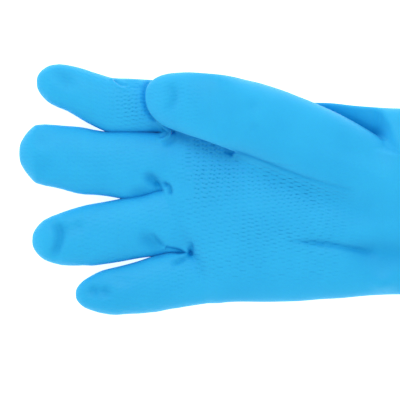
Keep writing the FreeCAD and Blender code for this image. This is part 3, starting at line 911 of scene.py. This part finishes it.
# ---- skin pieces -----------------------------------------------------------------------------
def skin_piece(part):
    """A closed piece of wall: rubber outside, flock inside, its thickness at the cut ends."""
    used, outside = np.unique(triangles[labels == part], return_inverse=True)
    outside = outside.reshape(-1, 3)
    count, faces = len(used), len(outside)
    inner = smooth_points[used] - normals[used] * WALL
    inner[:, 2] = np.maximum(inner[:, 2], WALL)
    start, end = open_edges(outside).T
    inside = outside[:, ::-1]
    tris = np.concatenate([outside, inside + count,
                           np.stack([end, start, start + count], 1),
                           np.stack([end, start + count, end + count], 1)])
    verts = np.concatenate([points[used], inner]) / 1000.0
    mesh = bpy.data.meshes.new(part + "_skin")
    mesh.vertices.add(len(verts))
    mesh.vertices.foreach_set("co", verts.astype(np.float32).ravel())
    mesh.loops.add(len(tris) * 3)
    mesh.loops.foreach_set("vertex_index", tris.astype(np.int32).ravel())
    mesh.polygons.add(len(tris))
    mesh.polygons.foreach_set("loop_start", np.arange(0, len(tris) * 3, 3, dtype=np.int32))
    mesh.polygons.foreach_set("loop_total", np.full(len(tris), 3, np.int32))
    slots = np.zeros(len(tris), np.int32)
    slots[faces:2 * faces] = 1
    painted_shade_amount = np.concatenate([painted_shade[used], np.zeros(count)]).astype(np.float32)
    mesh.attributes.new("painted_shade", "FLOAT", "POINT").data.foreach_set("value", painted_shade_amount)
    mesh.materials.append(RUBBER)
    mesh.materials.append(FLOCK)
    mesh.polygons.foreach_set("material_index", slots)
    mesh.polygons.foreach_set("use_smooth", np.ones(len(tris), bool))
    mesh.update(calc_edges=True)
    mesh.validate()
    # the same normals on both sides of a cut, so that it doesn't show
    rim = triangle_normals(verts * 1000, tris[2 * faces:])
    rim /= np.maximum(np.linalg.norm(rim, axis=1), 1e-9)[:, None]
    corner_normals = np.concatenate([shading_normals[used][outside], -normals[used][inside],
                                     np.repeat(rim[:, None, :], 3, axis=1)])
    mesh.normals_split_custom_set(corner_normals.reshape(-1, 3).astype(np.float32))
    piece = bpy.data.objects.new(part + "_skin", mesh)
    bpy.context.scene.collection.objects.link(piece)
    return piece


def blend_x(piece):
    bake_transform(piece)


def stand_in(piece, *replaced):
    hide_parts(*replaced)


hand = skin_piece("hand")
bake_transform(hand)
stand_in(hand, "hand_shell", "hand_lining", "thumb_base_shell", "thumb_base_lining",
         "thumb_web_flex")

wrist = skin_piece("wrist")
blend_x(wrist)
stand_in(wrist, "wrist_flex")

cuff = skin_piece("cuff")
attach(cuff, "cuff")
stand_in(cuff, "cuff_shell", "cuff_lining")

thumb = skin_piece("thumb_tip")
blend_x(thumb)
stand_in(thumb, "thumb_tip_shell", "thumb_tip_lining", "thumb_knuckle_flex")

for name, finger in FINGERS.items():
    root, first_cut, second_cut = finger.cuts
    tip_bend = next(joint["pos_m"][0] * 1000 for joint in frame["joints"]
                    if joint["name"] == f"{name}_tip_bend")
    # skin part, the two bodies either side of it, start and end of the span over its joint, the
    # joint it covers
    for part, first, second, start, end, flex in (
            ("base", "hand", f"{name}_proximal", root - 0.6, first_cut + 0.6, "base"),
            ("mid", f"{name}_proximal", f"{name}_middle", first_cut - 0.5, second_cut + 0.5,
             "knuckle"),
            ("tip", f"{name}_middle", f"{name}_tip", second_cut - 0.5,
             2 * tip_bend - second_cut + 0.5, "tip_joint")):
        piece = skin_piece(f"{name}_{part}")
        blend_x(piece)
        stand_in(piece, f"{name}_{flex}_flex", second + "_shell", second + "_lining")

# ---- rolled bead at the mouth, along the skin's own edge -------------------------------------
BEAD_RADIUS, BEAD_INSET = 1.3, 0.4
BEAD_STEPS, BEAD_SIDES = 420, 20


def mouth_outline():
    """The skin's edge at the mouth as even steps of angle, and its outward direction."""
    rim = np.unique(open_edges(triangles))
    rim = rim[points[rim, 0] > 180]
    outline = points[rim, 1:]
    low, high = outline.min(0), outline.max(0)
    away = (outline - (high + low) / 2) / ((high - low) / 2)
    angle = np.arctan2(away[:, 1], away[:, 0])
    order = np.argsort(angle)
    angle, outline = angle[order], outline[order]
    wrapped = np.concatenate([angle - 2 * math.pi, angle, angle + 2 * math.pi])
    even = np.linspace(-math.pi, math.pi, BEAD_STEPS, endpoint=False)
    outline = np.stack([np.interp(even, wrapped, np.tile(side, 3)) for side in outline.T], 1)
    for _ in range(3):
        outline = (np.roll(outline, 1, 0) + outline + np.roll(outline, -1, 0)) / 3
    outline[:, 1] = np.maximum(outline[:, 1], 1.0)
    tangent = np.roll(outline, -1, 0) - np.roll(outline, 1, 0)
    tangent /= np.linalg.norm(tangent, axis=1)[:, None]
    return outline, np.stack([tangent[:, 1], -tangent[:, 0]], 1)


def build_bead():
    outline, outward = mouth_outline()
    verts, faces = [], []
    for k in range(BEAD_SIDES):
        angle = 2 * math.pi * k / BEAD_SIDES
        side = outline + outward * (BEAD_RADIUS * math.cos(angle) - BEAD_INSET)
        along = np.full(BEAD_STEPS, MOUTH) + BEAD_RADIUS * math.sin(angle)
        verts.append(np.column_stack([along, side]))
        here, there = k * BEAD_STEPS, (k + 1) % BEAD_SIDES * BEAD_STEPS
        for i in range(BEAD_STEPS):
            j = (i + 1) % BEAD_STEPS
            faces.append((here + i, there + i, there + j, here + j))
    mesh = bpy.data.meshes.new("cuff_bead_roll")
    mesh.from_pydata([tuple(vert) for vert in np.concatenate(verts) / 1000.0], [], faces)
    mesh.update()
    for polygon in mesh.polygons:
        polygon.use_smooth = True
    bead = bpy.data.objects.new("cuff_bead_roll", mesh)
    bpy.context.scene.collection.objects.link(bead)
    work = bmesh.new()
    work.from_mesh(mesh)
    bmesh.ops.recalc_face_normals(work, faces=work.faces)
    work.to_mesh(mesh)
    work.free()
    mesh.materials.append(rubber_material("blue_rubber_bead", tint=0.97))
    return bead


bead = build_bead()
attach(bead, "cuff")
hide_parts("cuff_bead")

# ---- floor, light and camera, in metres ------------------------------------------------------
scene = bpy.context.scene


def build_floor():
    material, tree, shader = new_material("pale_floor")
    set_inputs(tree, shader, Base_Color=(0.93, 0.93, 0.93, 1), Roughness=0.9,
               Specular_IOR_Level=0.1, Emission_Color=(1, 1, 1, 1), Emission_Strength=0.75)
    bpy.ops.mesh.primitive_plane_add(size=6.0, location=(0, 0, -0.0001))
    floor = bpy.context.object
    floor.name = "floor"
    floor.data.materials.append(material)


def set_world():
    scene.view_settings.view_transform = "Standard"
    scene.world = scene.world or bpy.data.worlds.new("studio")
    scene.world.use_nodes = True
    nodes = scene.world.node_tree.nodes
    background = nodes.get("Background") or nodes.new("ShaderNodeBackground")
    background.inputs["Color"].default_value = (1, 1, 1, 1)
    background.inputs["Strength"].default_value = 0.85


def area_light(name, location, target, size, power):
    light = bpy.data.lights.new(name, "AREA")
    light.shape = "RECTANGLE"
    light.size, light.size_y = size
    light.energy = power
    lamp = bpy.data.objects.new(name, light)
    lamp.location = location
    aim = Vector(target) - Vector(location)
    lamp.rotation_euler = aim.to_track_quat("-Z", "Y").to_euler()
    scene.collection.objects.link(lamp)


def add_camera():
    """A very long lens, looking straight down."""
    lens = bpy.data.cameras.new("camera")
    lens.sensor_width = 36.0
    lens.lens = 900.0
    lens.clip_start, lens.clip_end = 0.01, 20.0
    camera = bpy.data.objects.new("camera", lens)
    camera.location = (-0.035, 0.0, 5.015)
    scene.collection.objects.link(camera)
    scene.camera = camera


build_floor()
set_world()
area_light("key", location=(-0.22, 0.62, 1.05), target=(-0.02, 0, 0), size=(0.5, 0.35), power=3.2)
add_camera()
